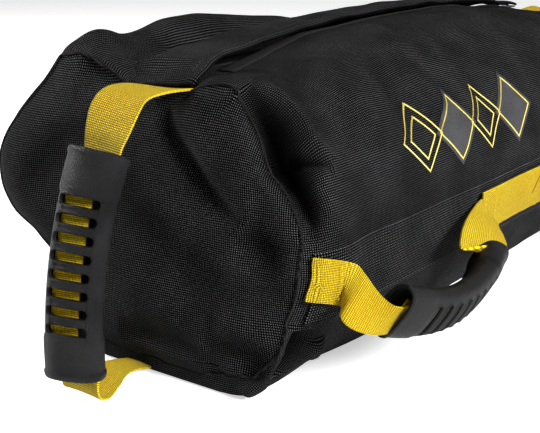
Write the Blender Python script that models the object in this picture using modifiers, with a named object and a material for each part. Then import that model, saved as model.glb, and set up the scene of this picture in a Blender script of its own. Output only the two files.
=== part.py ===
# Sandbag trainer: a filled cloth training bag with six strap handles.
# Sizes are in metres. X runs along the bag, Z is up and the floor is at zero.
# Front means the -Y side, near means the -X end.
import math

import bmesh
import bpy
from mathutils import Matrix, Vector

# Cloth, webbing and the air between pieces that touch
cloth_thickness = 0.0022
webbing_width = 0.038
webbing_thickness = 0.0018
band_width = 0.050
band_thickness = 0.0020
seam_gap = 0.0003
band_lift = 0.0006

# Bag body
bag_length = 0.664
bag_width = 0.272
bag_height = 0.214
end_setback = 0.024
end_bulge = 0.014
hem_depth = 0.012
section_power = 2.6
widest_share = 0.50
top_swell_share = 1.07
floor_swell_share = 1.16
belly_share = 0.03
shoulder_start_share = 0.935
shoulder_width_share = 0.045
shoulder_height_share = 0.030
middle_run_shares = (0, 0.25, 0.50, 0.75)
shoulder_run_shares = (0, 0.4, 0.7, 1)
around_count = 30
panel_rings = 4

# Zip, its slider and its pull
zip_line = 0.018
mouth_width = 0.014
zip_end_margin = 0.020
tape_width = 0.016
tape_thickness = 0.0008
chain_width = 0.0056
chain_height = 0.0030
slider_length = 0.014
slider_width = 0.011
slider_thickness = 0.0020
slider_park_gap = 0.0005
flange_thickness = 0.0016
staple_width = 0.0026
staple_wall = 0.0010
pin_radius = 0.0008
pull_length = 0.024
pull_width = 0.009
pull_thickness = 0.0014
pull_window = 0.0080
stop_length = 0.004
stop_margin = 0.0005
stop_width = 0.0080
edge_share = 0.2

# Cover flap and its fastener strips
flap_near_end = 0.285
flap_far_end = 0.250
flap_width = 0.076
flap_front = 0.024
flap_thickness = 0.0025
flap_crest = 0.0120
flap_root_gap = 0.0009
# Distance from the sewn edge as a share of the width, and rise towards the crest as a share
flap_profile_shares = (
    (0.00, 0.00),
    (0.08, 0.39),
    (0.20, 0.86),
    (0.42, 1.00),
    (0.60, 0.78),
    (0.70, 0.35),
    (0.76, 0.00),
    (1.00, 0.00),
)
fastener_thickness = 0.0012
fastener_width = 0.015
fastener_edge = 0.002
fastener_near_end = 0.270
fastener_far_end = 0.238

# Side bands and what is sewn on them
band_height = 0.088
band_end_margin = 0.003
tab_length = 0.035
tab_gap = 0.0008
handle_place = 0.2025
side_span = 0.161
stub_middle_share = 0.5
stub_taper_share = 0.6
tab_steps = 4
strip_steps = 6
strap_columns = 4

# Handles: grip, free webbing and how they hang
grip_width = 0.041
grip_depth = 0.018
grip_power = 2.5
sleeve_length = 0.024
sleeve_step = 0.0010
sleeve_ramp = 0.002
tunnel_width = 0.0362
tunnel_depth = 0.0040
tunnel_power = 6
tunnel_play = 0.0012
slot_count = 8
slot_pitch = 0.0118
slot_length = 0.020
slot_width = 0.0058
neck_width = 0.030
end_neck_width = 0.032
end_straight = 0.022
pivot_tail = 0.004
side_pivot_offset = 0.016
side_grip_chord = 0.146
side_grip_rise = 0.019
side_mouth_reach = 0.021
side_droop = math.radians(46)
end_grip_chord = 0.152
end_grip_rise = 0.004
end_mouth_reach = 0.044
end_grip_shift = -0.015
end_top_pivot_offset = 0.018
end_low_pivot_offset = 0.028
end_top_rise = 0.0045
end_bottom_height = 0.009
end_tab_length = 0.016
end_tab_drop = 0.0045
end_tab_low = 0.0095
end_stub_tail = 0.002
sewn_shares = (1, 0.5, 0)
bend_steps = 5
field_steps = 6
grip_around_count = 16
slot_arc_steps = 4

# Filling
filler_gap = 0.006
filler_wall_gap = 0.010
filler_round = 0.030
filler_width_share = 0.75
filler_layers = 2
seal_width_share = 0.80
seal_depth = 0.028
seal_thickness = 0.003

cut_overrun = 0.002
weld_distance = 1e-6
grid_half_share = 0.5
smooth_angle = math.radians(40)


def material(name, colour, roughness, metallic=0.0):
    made = bpy.data.materials.new(name)
    made.use_nodes = True
    shader = made.node_tree.nodes["Principled BSDF"]
    shader.inputs["Base Color"].default_value = (*colour, 1.0)
    shader.inputs["Roughness"].default_value = roughness
    shader.inputs["Metallic"].default_value = metallic
    made.diffuse_color = (*colour, 1.0)
    return made


def new_object(name, mesh, finish, collection):
    made = bpy.data.objects.new(name, mesh)
    if not mesh.materials:
        mesh.materials.append(finish)
    collection.objects.link(made)
    return made


def mesh_from(name, build_mesh, smooth=True):
    mesh = bpy.data.meshes.new(name)
    build_mesh.to_mesh(mesh)
    build_mesh.free()
    if smooth:
        mesh.shade_smooth()
        mesh.set_sharp_from_angle(angle=smooth_angle)
    return mesh


def sheet_mesh(name, columns, rows, place, closed=False):
    # A flat grid whose corners are moved to place(u, v), with u and v from 0 to 1
    build_mesh = bmesh.new()
    bmesh.ops.create_grid(build_mesh, x_segments=columns, y_segments=rows, size=grid_half_share)
    for vertex in build_mesh.verts:
        vertex.co = place(vertex.co.x + grid_half_share, vertex.co.y + grid_half_share)
    if closed:
        bmesh.ops.remove_doubles(build_mesh, verts=build_mesh.verts, dist=weld_distance)
        bmesh.ops.recalc_face_normals(build_mesh, faces=build_mesh.faces)
    return mesh_from(name, build_mesh)


def thicken(piece, thickness, offset):
    wall = piece.modifiers.new("wall", "SOLIDIFY")
    wall.thickness = thickness
    wall.offset = offset
    wall.use_even_offset = True


def box(name, low, high, finish, collection):
    build_mesh = bmesh.new()
    bmesh.ops.create_cube(build_mesh, size=1.0)
    low = Vector(low)
    high = Vector(high)
    for vertex in build_mesh.verts:
        for axis in range(3):
            vertex.co[axis] *= high[axis] - low[axis]
    piece = new_object(name, mesh_from(name, build_mesh, smooth=False), finish, collection)
    piece.location = (low + high) / 2
    return piece


def round_edges(piece, width, segments=2):
    edge = piece.modifiers.new("edge", "BEVEL")
    edge.width = width
    edge.segments = segments


def mix(start, end, share):
    return start + (end - start) * share


# The bag's section is a rounded shape, cut flat at the floor and at the top


def widest_height():
    return bag_height * widest_share


def end_reach(height):
    # Half the body's length at this height
    return bag_length / 2 - end_setback * height / bag_height


def shoulder(run_share):
    # 0 along the body, rising to 1 at the end seam, where the seam draws the cloth in
    return max((abs(run_share) - shoulder_start_share) / (1 - shoulder_start_share), 0) ** 2


def half_width_at(run_share):
    belly = 1 - belly_share * run_share ** 2
    return bag_width / 2 * belly * (1 - shoulder_width_share * shoulder(run_share))


def height_at(run_share):
    return bag_height * (1 - shoulder_height_share * shoulder(run_share))


def rise_radius(above):
    if above:
        return (bag_height - widest_height()) * top_swell_share
    return widest_height() * floor_swell_share


def section_point(angle, run_share, inset=0.0):
    across = math.cos(angle)
    rise = math.sin(angle)
    power = 2 / section_power
    half_width = half_width_at(run_share) - inset
    y = half_width * math.copysign(abs(across) ** power, across)
    z = widest_height() + rise_radius(rise > 0) * math.copysign(abs(rise) ** power, rise)
    share = min(max(z, 0), bag_height) / bag_height
    return y, mix(inset, height_at(run_share) - inset, share)


def side_reach(x, z):
    # Distance of the bag's side from its middle plane
    run_share = x / end_reach(z)
    height = z * bag_height / height_at(run_share)
    radius = rise_radius(height > widest_height())
    share = min(abs(height - widest_height()) / radius, 1)
    return half_width_at(run_share) * (1 - share ** section_power) ** (1 / section_power)


def run_stations():
    # Places along the body, as shares of its half length, close together at the shoulders
    outer = [mix(shoulder_start_share, 1, share) for share in shoulder_run_shares]
    far_half = list(middle_run_shares) + outer
    return [-share for share in far_half[:0:-1]] + far_half


def mouth_angle(y, run_share):
    share = abs(y) / half_width_at(run_share)
    return math.acos(math.copysign(share ** (section_power / 2), y))


def end_face(height):
    # Distance of an end panel's middle line from the bag's centre
    middle = height_at(1) / 2
    share = (height - middle) / middle
    return end_reach(height) + end_bulge * (1 - share ** 2)


def ring_angle(share, run_share):
    # From the mouth's front edge, down the front, under the bag and up to its back edge
    start = mouth_angle(zip_line - mouth_width / 2, run_share)
    end = 2 * math.pi + mouth_angle(zip_line + mouth_width / 2, run_share)
    return mix(start, end, share)


def body_cover(cloth, collection):
    stations = run_stations()

    def place(u, v):
        run_share = stations[round(v * (len(stations) - 1))]
        y, z = section_point(ring_angle(u, run_share), run_share)
        return Vector((run_share * end_reach(z), y, z))

    mesh = sheet_mesh("body_cover", around_count, len(stations) - 1, place)
    cover = new_object("body_cover", mesh, cloth, collection)
    thicken(cover, cloth_thickness, -1)
    return cover


def end_panel_mesh(name, side):
    # A dished panel whose rim is turned into the body, its corners in line with the body's
    inset = cloth_thickness + 2 * seam_gap
    columns = around_count + 1

    def place(u, v):
        column = round(u * columns) % columns
        y, z = section_point(ring_angle(column / around_count, 1), 1, inset)
        ring = round(v * (panel_rings + 1))
        if ring == 0:
            return Vector((side * (end_reach(z) - hem_depth), y, z))
        share = 1 - (ring - 1) / panel_rings
        middle = height_at(1) / 2
        height = middle + (z - middle) * share
        bulge = end_bulge * (1 - share ** 2)
        return Vector((side * (end_reach(height) + bulge), y * share, height))

    return sheet_mesh(name, columns, panel_rings + 1, place, closed=True)


def end_panels(cloth, collection):
    for name, side in (("end_panel_near", -1), ("end_panel_far", 1)):
        panel = new_object(name, end_panel_mesh(name, side), cloth, collection)
        thicken(panel, cloth_thickness, -1)


# The zip lies under the edges of the body cover


def tape_top():
    return bag_height - cloth_thickness - seam_gap


def chain_top():
    return tape_top() - tape_thickness / 2 - chain_height / 2 + chain_height


def zip_half():
    return end_reach(bag_height) - zip_end_margin


def zip_parts(tape, moulded, metal, collection):
    half = zip_half()
    inner = chain_width / 2 + seam_gap
    for name, side in (("zip_tape_front", -1), ("zip_tape_back", 1)):
        edges = sorted((zip_line + side * inner, zip_line + side * (inner + tape_width)))
        low = (-half, edges[0], tape_top() - tape_thickness)
        box(name, low, (half, edges[1], tape_top()), tape, collection)
    low = (-half, zip_line - chain_width / 2, chain_top() - chain_height)
    chain = box("zip_chain", low, (half, zip_line + chain_width / 2, chain_top()), moulded, collection)
    round_edges(chain, chain_height * edge_share, 1)
    for name, side in (("zip_stop_near", -1), ("zip_stop_far", 1)):
        ends = sorted((side * (half - stop_margin), side * (half - stop_margin - stop_length)))
        low = (ends[0], zip_line - stop_width / 2, chain_top() + seam_gap)
        high = (ends[1], zip_line + stop_width / 2, chain_top() + seam_gap + slider_thickness)
        round_edges(box(name, low, high, metal, collection), slider_thickness * edge_share, 1)


def slider_deck():
    return chain_top() + seam_gap + slider_thickness


def pull_axis_height():
    return slider_deck() + seam_gap + pull_thickness / 2 + pin_radius / 2


def slider_park():
    # The slider's middle when the bag is shut, against the far stop
    return zip_half() - stop_margin - stop_length - slider_park_gap - slider_length / 2


def zip_slider(metal, collection, cutters):
    # A saddle over the chain, with a staple on its back that holds the pull's pin
    park = slider_park()
    half_length = slider_length / 2
    half_width = slider_width / 2
    under = tape_top() + seam_gap
    low = (park - half_length, zip_line - half_width, under)
    high = (park + half_length, zip_line + half_width, slider_deck())
    saddle = box("zip_slider", low, high, metal, collection)
    channel_half = half_width - flange_thickness
    low = (park - half_length - cut_overrun, zip_line - channel_half, under - cut_overrun)
    high = (park + half_length + cut_overrun, zip_line + channel_half, chain_top() + seam_gap)
    cut(saddle, box("slider_channel", low, high, metal, cutters), "DIFFERENCE")
    eye = pin_radius + seam_gap
    outer = eye + staple_wall
    low = (park - outer, zip_line - staple_width / 2, slider_deck() - slider_thickness / 2)
    high = (park + outer, zip_line + staple_width / 2, pull_axis_height() + outer)
    staple = box("slider_staple", low, high, metal, cutters)
    low = (park - eye, zip_line - staple_width, pull_axis_height() - eye)
    high = (park + eye, zip_line + staple_width, pull_axis_height() + eye)
    cut(staple, box("slider_eye", low, high, metal, cutters), "DIFFERENCE")
    cut(saddle, staple, "UNION")
    return saddle


def zip_pull(metal, collection, cutters):
    # A flat tab with a window; the bar at the window's end is the pin in the staple
    pivot = bpy.data.objects.new("zip_pull_pivot", None)
    pivot.location = (slider_park(), zip_line, pull_axis_height())
    collection.objects.link(pivot)
    half_width = pull_width / 2
    half_thickness = pull_thickness / 2
    low = (-pin_radius, -half_width, -half_thickness)
    pull = box("zip_pull", low, (pull_length, half_width, half_thickness), metal, collection)
    window_half = staple_width / 2 + 2 * seam_gap
    low = (pin_radius, -window_half, -pull_thickness)
    window = box("pull_window", low, (pull_window, window_half, pull_thickness), metal, cutters)
    cut(pull, window, "DIFFERENCE")
    pull.parent = pivot
    window.parent = pivot
    return pull


def cut(piece, tool, operation):
    change = piece.modifiers.new(tool.name, "BOOLEAN")
    change.operation = operation
    change.object = tool
    change.solver = "EXACT"


# The cover flap is hinged on its sewn back edge


def flap_back():
    return flap_width - flap_front


def flap_seat():
    # Height of the flap's front part over the two fastener strips
    return 2 * fastener_thickness + 3 * seam_gap


def cover_flap(cloth, collection):
    last = len(flap_profile_shares) - 1
    pivot_height = bag_height + flap_root_gap + flap_thickness / 2
    hinge = Vector((0, flap_back(), pivot_height))

    def place(u, v):
        width_share, rise_share = flap_profile_shares[round(u * last)]
        seat = flap_seat() if width_share else flap_root_gap
        x = mix(-flap_near_end, flap_far_end, v)
        lift = mix(seat, flap_crest, rise_share)
        point = Vector((x, flap_back() - flap_width * width_share, bag_height + lift))
        return point - hinge

    pivot = bpy.data.objects.new("cover_flap_pivot", None)
    pivot.location = hinge
    collection.objects.link(pivot)
    flap = new_object("cover_flap", sheet_mesh("cover_flap", last, 2, place), cloth, collection)
    thicken(flap, flap_thickness, 1)
    flap.parent = pivot
    return pivot


def fastener_strips(pivot, hook, loop, collection):
    front = -flap_front + fastener_edge
    low = (-fastener_near_end, front, bag_height + seam_gap)
    high = (fastener_far_end, front + fastener_width, bag_height + seam_gap + fastener_thickness)
    box("fastener_loop_strip", low, high, loop, collection)
    shift = fastener_thickness + seam_gap
    low = (low[0], low[1], low[2] + shift)
    high = (high[0], high[1], high[2] + shift)
    strip = box("fastener_hook_strip", low, high, hook, collection)
    strip.location -= pivot.location
    strip.parent = pivot


# Side bands, with the tabs and the middle strips that anchor the side handles


def side_bands(webbing, collection):
    stations = run_stations()
    end_share = 1 - band_end_margin / end_reach(band_height)

    def place(u, v):
        z = band_height + mix(-band_width / 2, band_width / 2, v)
        run_share = stations[round(u * (len(stations) - 1))]
        x = min(max(run_share, -end_share), end_share) * end_reach(z)
        return Vector((x, -side_reach(x, z) - band_lift, z))

    mesh = sheet_mesh("side_band", len(stations) - 1, strap_columns, place)
    for name, turn in (("side_band_front", 0), ("side_band_back", math.pi)):
        band = new_object(name, mesh, webbing, collection)
        band.rotation_euler.z = turn
        thicken(band, band_thickness, 1)


def tab_lift():
    return band_lift + band_thickness + tab_gap


def side_pivot_reach():
    inner_anchor = handle_place - side_span / 2
    return side_reach(inner_anchor, band_height) + tab_lift() + side_pivot_offset


def strap_mesh(name, route):
    # route: (x, reach beyond the band, half width); a reach of None lies on the band
    def place(u, v):
        x, reach, half_width = route[round(u * (len(route) - 1))]
        z = band_height + mix(-half_width, half_width, v)
        surface = side_reach(x, z) + tab_lift()
        if reach is None:
            return Vector((x, -surface, z))
        return Vector((x, -mix(surface, side_pivot_reach() + pivot_tail, reach), z))

    return sheet_mesh(name, len(route) - 1, strap_columns, place)


def anchor_stub(x):
    # The turned-out end of a sewn strap, from the band to just past the pivot line
    middle_width = mix(webbing_width, neck_width, stub_taper_share)
    return [(x, stub_middle_share, middle_width / 2), (x, 1, neck_width / 2)]


def side_straps(webbing, collection):
    outer_anchor = handle_place + side_span / 2
    inner_anchor = handle_place - side_span / 2
    half = webbing_width / 2
    near = []
    for index in range(tab_steps + 1):
        near.append((-outer_anchor - tab_length * (1 - index / tab_steps), None, half))
    near += anchor_stub(-outer_anchor)
    middle = anchor_stub(-inner_anchor)[::-1]
    for index in range(strip_steps + 1):
        middle.append((mix(-inner_anchor, inner_anchor, index / strip_steps), None, half))
    middle += anchor_stub(inner_anchor)
    far = [(-x, reach, width) for x, reach, width in reversed(near)]
    # The back straps are the front ones turned about the bag's middle, so near and far change places
    routes = (
        ("tab_near", "tab_far", near),
        ("middle_strip", "middle_strip", middle),
        ("tab_far", "tab_near", far),
    )
    for front_label, back_label, route in routes:
        mesh = strap_mesh(front_label, route)
        for name, turn in (("front_" + front_label, 0), ("back_" + back_label, math.pi)):
            strap = new_object(name, mesh, webbing, collection)
            strap.rotation_euler.z = turn
            thicken(strap, webbing_thickness, 1)


# Handles are built about their pivot line: x along it, -y outward, z across the strap


def handle_shape(span, chord, rise, mouth, shift, neck, straight):
    # straight: how far the webbing stands out from the pivot line before it bends
    shape = {"span": span, "chord": chord, "rise": rise, "mouth": mouth}
    shape.update({"shift": shift, "neck": neck, "straight": straight})
    return shape


def arc_reach(shape, place):
    # Distance of the grip's middle line from the pivot line, place counted from the grip's middle
    return shape["mouth"] + shape["rise"] * (1 - (2 * place / shape["chord"]) ** 2)


def arc_slope(shape, place):
    return -8 * shape["rise"] * place / shape["chord"] ** 2


def grip_stations(chord):
    # Places along the grip, from its middle: mouth, sleeve, ramp, then the slotted field
    sleeve = chord / 2 - sleeve_length
    field = sleeve - sleeve_ramp
    inner = [mix(-field, field, index / field_steps) for index in range(field_steps + 1)]
    return [-chord / 2, -sleeve] + inner + [sleeve, chord / 2]


def strap_bend(shape, side):
    # The free webbing from one pivot to the grip's mouth, never further out than the anchor beside it
    anchor = side * (shape["span"] / 2 - seam_gap - webbing_thickness / 2)
    start = Vector((anchor, shape["straight"]))
    end = Vector((shape["shift"] + side * shape["chord"] / 2, shape["mouth"]))
    pull = (end - start).length / 2
    tangent = Vector((side, arc_slope(shape, shape["chord"] / 2))).normalized()
    lead = start + Vector((0, pull))
    trail = end + tangent * min(pull, abs((anchor - end.x) / tangent.x))
    bend = [Vector((anchor, -pivot_tail))]
    if shape["straight"]:
        bend.append(Vector((anchor, 0)))
    for index in range(bend_steps):
        share = index / bend_steps
        first = start.lerp(lead, share)
        second = lead.lerp(trail, share)
        third = trail.lerp(end, share)
        bend.append(first.lerp(second, share).lerp(second.lerp(third, share), share))
    return bend


def loop_route(shape):
    # The free webbing in the handle's plane, from one pivot to the other
    middle = []
    for place in grip_stations(shape["chord"]):
        middle.append(Vector((shape["shift"] + place, arc_reach(shape, place))))
    return strap_bend(shape, -1) + middle + strap_bend(shape, 1)[::-1]


def loop_mesh(name, shape):
    # Narrow at the pivots, full width where it hangs free, and tucked in inside the grip
    route = loop_route(shape)
    outside = len(strap_bend(shape, 1))

    def place(u, v):
        index = round(u * (len(route) - 1))
        along, reach = route[index]
        share = (reach - shape["straight"]) / (shape["mouth"] - shape["straight"])
        half_width = mix(shape["neck"], webbing_width, min(max(share, 0), 1)) / 2
        if outside <= index < len(route) - outside:
            half_width = (tunnel_width - tunnel_play) / 2
        return Vector((along, -reach, mix(-half_width, half_width, v)))

    return sheet_mesh(name, len(route) - 1, 1, place)


def oval(angle, width, depth, power):
    across = math.sin(angle)
    out = math.cos(angle)
    z = width / 2 * math.copysign(abs(across) ** (2 / power), across)
    reach = depth / 2 * math.copysign(abs(out) ** (2 / power), out)
    return reach, z


def grip_mesh(name, shape):
    # A tube wall: out along the outside, over the far mouth and back along the tunnel
    stations = grip_stations(shape["chord"])
    field = shape["chord"] / 2 - sleeve_length
    rings = [(place, True) for place in stations] + [(place, False) for place in reversed(stations)]
    rings.append(rings[0])

    def place_at(u, v):
        place, outside = rings[round(v * (len(rings) - 1))]
        if outside:
            step = 0 if abs(place) > field - sleeve_ramp / 2 else 2 * sleeve_step
            reach, z = oval(2 * math.pi * u, grip_width - step, grip_depth - step, grip_power)
        else:
            reach, z = oval(2 * math.pi * u, tunnel_width, tunnel_depth, tunnel_power)
        normal = Vector((-arc_slope(shape, place), -1, 0)).normalized()
        return Vector((shape["shift"] + place, -arc_reach(shape, place), z)) + normal * reach

    return sheet_mesh(name, grip_around_count, len(rings) - 1, place_at, closed=True)


def slot_outline():
    # A slot with round ends, in the plane of the grip's outer face
    corner = slot_width / 2
    straight = slot_length / 2 - corner
    outline = []
    for side in (1, -1):
        for step in range(slot_arc_steps + 1):
            angle = math.pi * step / slot_arc_steps
            x = side * corner * math.cos(angle)
            z = side * (straight + corner * math.sin(angle))
            outline.append((x, z))
    return outline


def slot_cutter(name, shape, cutters):
    # Slots across the grip's outer face, down to the tunnel
    build_mesh = bmesh.new()
    for index in range(slot_count):
        place = (index - (slot_count - 1) / 2) * slot_pitch
        verts = [build_mesh.verts.new((x, 0, z)) for x, z in slot_outline()]
        face = build_mesh.faces.new(verts)
        rest = bmesh.ops.extrude_face_region(build_mesh, geom=[face])
        lifted = [item for item in rest["geom"] if isinstance(item, bmesh.types.BMVert)]
        bmesh.ops.translate(build_mesh, verts=lifted, vec=(0, -grip_depth, 0))
        turn = Matrix.Rotation(-math.atan(arc_slope(shape, place)), 4, "Z")
        shift = Matrix.Translation((shape["shift"] + place, -arc_reach(shape, place), 0))
        bmesh.ops.transform(build_mesh, matrix=shift @ turn, verts=verts + lifted)
    bmesh.ops.recalc_face_normals(build_mesh, faces=build_mesh.faces)
    cutter = bpy.data.objects.new(name, mesh_from(name, build_mesh, smooth=False))
    cutters.objects.link(cutter)
    return cutter


def cut_grip(name, shape, rubber, cutters):
    # The finished grip mesh, shared by every handle of its kind
    blank = new_object(name + "_blank", grip_mesh(name, shape), rubber, cutters)
    cut(blank, slot_cutter(name + "_slots", shape, cutters), "DIFFERENCE")
    graph = bpy.context.evaluated_depsgraph_get()
    mesh = bpy.data.meshes.new_from_object(blank.evaluated_get(graph))
    mesh.name = name
    bpy.data.objects.remove(blank)
    return mesh


def side_pivots():
    reach = side_pivot_reach()
    droop = Matrix.Rotation(side_droop, 4, "X")
    pivots = {}
    for side, turn in (("front", 0), ("back", math.pi)):
        for end, place in (("near", -handle_place), ("far", handle_place)):
            along = place if side == "front" else -place
            shift = Matrix.Translation((along, -reach, band_height))
            pivots[f"{side}_{end}"] = Matrix.Rotation(turn, 4, "Z") @ shift @ droop
    return pivots


def end_pivot_line():
    # The pivot line's lower and upper ends at the near end of the bag
    top_height = height_at(1) + end_top_rise
    low = Vector((-(end_face(end_tab_low) + end_low_pivot_offset), 0, end_bottom_height))
    high = Vector((-(end_face(height_at(1) - end_tab_drop) + end_top_pivot_offset), 0, top_height))
    return low, high


def end_frame():
    low, high = end_pivot_line()
    along = (high - low).normalized()
    inward = Vector((0, 1, 0)).cross(along)
    across = along.cross(inward)
    turn = Matrix((along, inward, across)).transposed().to_4x4()
    return Matrix.Translation((low + high) / 2) @ turn


def end_pivots():
    return {"near_end": end_frame(), "far_end": Matrix.Rotation(math.pi, 4, "Z") @ end_frame()}


def add_handles(pivots, loop, grip, webbing, rubber, collection):
    for name, matrix in pivots.items():
        pivot = bpy.data.objects.new(name + "_pivot", None)
        pivot.matrix_world = matrix
        collection.objects.link(pivot)
        strap = new_object(name + "_loop", loop, webbing, collection)
        thicken(strap, webbing_thickness, 0)
        sleeve = new_object(name + "_grip", grip, rubber, collection)
        for piece in (strap, sleeve):
            piece.parent = pivot


def side_handles(webbing, rubber, collection, cutters):
    shape = handle_shape(side_span, side_grip_chord, side_grip_rise, side_mouth_reach, 0, neck_width, 0)
    loop = loop_mesh("side_loop", shape)
    grip = cut_grip("side_grip", shape, rubber, cutters)
    add_handles(side_pivots(), loop, grip, webbing, rubber, collection)


def end_handles(webbing, rubber, collection, cutters):
    low, high = end_pivot_line()
    span = (high - low).length
    sizes = (end_grip_chord, end_grip_rise, end_mouth_reach, end_grip_shift, end_neck_width, end_straight)
    shape = handle_shape(span, *sizes)
    loop = loop_mesh("end_loop", shape)
    grip = cut_grip("end_grip", shape, rubber, cutters)
    add_handles(end_pivots(), loop, grip, webbing, rubber, collection)


def end_tab_mesh(name, upper):
    # Sewn flat on the end panel, then turned out beside the loop's tail
    low, high = end_pivot_line()
    along = (high - low).normalized()
    outward = along.cross(Vector((0, 1, 0)))
    beside = 2 * seam_gap + webbing_thickness
    if upper:
        sewn = height_at(1) - end_tab_drop
        reach_down = -end_tab_length
        seat = high - along * beside
        half_way = -end_top_pivot_offset / 2
    else:
        sewn = end_tab_low
        reach_down = end_tab_length
        seat = low + along * beside
        half_way = -end_low_pivot_offset / 2
    half = webbing_width / 2
    route = []
    for share in sewn_shares:
        height = sewn + reach_down * share
        route.append((-(end_face(height) + seam_gap), height, half))
    neck = mix(webbing_width, end_neck_width, stub_taper_share)
    for reach, width in ((half_way, neck), (end_stub_tail, end_neck_width)):
        point = seat + outward * reach
        route.append((point.x, point.z, width / 2))

    def place(u, v):
        x, z, half_width = route[round(u * (len(route) - 1))]
        return Vector((x, mix(-half_width, half_width, v), z))

    return sheet_mesh(name, len(route) - 1, 2, place)


def end_tabs(webbing, collection):
    for label, upper in (("top_tab", True), ("bottom_tab", False)):
        mesh = end_tab_mesh("end_" + label, upper)
        for end, turn in (("near_end", 0), ("far_end", math.pi)):
            tab = new_object(f"{end}_{label}", mesh, webbing, collection)
            tab.rotation_euler.z = turn
            thicken(tab, webbing_thickness, 1 if upper else -1)


# Filler bags lie in two layers inside the cover, each with a sealing strip on its inner end


def filler_bags(canvas, loop, collection):
    floor = cloth_thickness + seam_gap
    ceiling = tape_top() - tape_thickness - chain_height - filler_gap
    layer = (ceiling - floor) / filler_layers
    length = end_reach(bag_height) - filler_wall_gap - hem_depth
    half_width = bag_width / 2 * filler_width_share
    seal_half = half_width * seal_width_share
    seal_start = filler_gap + filler_round
    number = 0
    for level in range(filler_layers):
        low_z = floor + level * layer
        high_z = low_z + layer - seal_thickness - 2 * seam_gap
        for side in (-1, 1):
            number += 1
            ends = sorted((side * filler_gap, side * length))
            low = (ends[0], -half_width, low_z)
            high = (ends[1], half_width, high_z)
            bag = box(f"filler_bag_{number}", low, high, canvas, collection)
            round_edges(bag, filler_round, 3)
            ends = sorted((side * seal_start, side * (seal_start + seal_depth)))
            low = (ends[0], -seal_half, high_z + seam_gap)
            high = (ends[1], seal_half, high_z + seam_gap + seal_thickness)
            box(f"filler_seal_{number}", low, high, loop, collection)


def main():
    for item in list(bpy.data.objects):
        bpy.data.objects.remove(item)
    collection = bpy.data.collections.new("sandbag_trainer")
    cutters = bpy.data.collections.new("cutters")
    for group in (collection, cutters):
        bpy.context.scene.collection.children.link(group)
    cloth = material("black_cloth", (0.020, 0.020, 0.022), 0.85)
    band = material("black_webbing", (0.018, 0.018, 0.020), 0.80)
    yellow = material("yellow_webbing", (0.86, 0.52, 0.02), 0.75)
    rubber = material("black_rubber", (0.030, 0.030, 0.032), 0.50)
    tape = material("zip_tape", (0.015, 0.015, 0.016), 0.85)
    moulded = material("zip_chain", (0.025, 0.025, 0.026), 0.40)
    metal = material("zip_metal", (0.045, 0.045, 0.048), 0.35, 0.8)
    hook = material("hook_strip", (0.020, 0.020, 0.021), 0.70)
    loop = material("loop_strip", (0.022, 0.022, 0.023), 0.95)
    canvas = material("filler_canvas", (0.055, 0.055, 0.058), 0.90)
    body_cover(cloth, collection)
    end_panels(cloth, collection)
    zip_parts(tape, moulded, metal, collection)
    zip_slider(metal, collection, cutters)
    zip_pull(metal, collection, cutters)
    pivot = cover_flap(cloth, collection)
    fastener_strips(pivot, hook, loop, collection)
    side_bands(band, collection)
    side_straps(yellow, collection)
    side_handles(yellow, rubber, collection, cutters)
    end_handles(yellow, rubber, collection, cutters)
    end_tabs(yellow, collection)
    filler_bags(canvas, loop, collection)
    for tool in cutters.objects:
        tool.hide_render = True
        tool.display_type = "WIRE"


main()
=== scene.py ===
import math
import bpy
import bmesh
import numpy as np
from mathutils import Vector, Matrix, noise
from mathutils.bvhtree import BVHTree


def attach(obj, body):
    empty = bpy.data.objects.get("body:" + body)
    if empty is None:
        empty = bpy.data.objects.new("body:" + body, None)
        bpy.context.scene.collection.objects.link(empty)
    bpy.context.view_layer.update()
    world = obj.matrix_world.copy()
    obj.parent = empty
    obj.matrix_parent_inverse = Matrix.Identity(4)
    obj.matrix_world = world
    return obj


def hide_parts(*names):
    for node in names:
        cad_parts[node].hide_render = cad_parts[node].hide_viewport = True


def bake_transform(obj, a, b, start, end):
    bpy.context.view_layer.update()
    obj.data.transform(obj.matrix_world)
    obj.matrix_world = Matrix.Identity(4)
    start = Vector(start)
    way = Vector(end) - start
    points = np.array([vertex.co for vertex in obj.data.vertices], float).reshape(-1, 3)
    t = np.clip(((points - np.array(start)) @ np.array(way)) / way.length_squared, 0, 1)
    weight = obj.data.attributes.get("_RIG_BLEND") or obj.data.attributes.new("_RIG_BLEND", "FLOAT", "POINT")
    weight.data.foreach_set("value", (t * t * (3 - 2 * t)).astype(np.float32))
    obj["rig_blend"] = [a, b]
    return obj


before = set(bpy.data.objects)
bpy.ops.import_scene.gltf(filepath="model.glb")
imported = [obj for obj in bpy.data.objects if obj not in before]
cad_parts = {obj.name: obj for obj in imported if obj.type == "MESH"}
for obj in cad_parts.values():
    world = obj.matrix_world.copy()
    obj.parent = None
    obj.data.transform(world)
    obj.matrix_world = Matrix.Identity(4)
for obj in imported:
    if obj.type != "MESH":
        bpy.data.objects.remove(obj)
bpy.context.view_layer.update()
print("frame loaded", len(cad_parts), "nodes")


# small helpers

def mix(a, b, share):
    return a + (b - a) * share


def smooth(low, high, value):
    t = min(max((value - low) / (high - low), 0.0), 1.0)
    return t * t * (3 - 2 * t)


def bell(offset, width):
    return math.exp(-(offset / width) ** 2)


def metres(*rows):
    # places that are written in millimetres
    return [tuple(round(value / 1000, 6) for value in row) for row in rows]


def mirrored(point, flip):
    return Vector((point[0] * flip[0], point[1] * flip[1], point[2]))


def reachAlong(points):
    # how far along a line each of its points is
    reach = [0.0]
    for a, b in zip(points, points[1:]):
        reach.append(reach[-1] + (b - a).length)
    return reach


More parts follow.
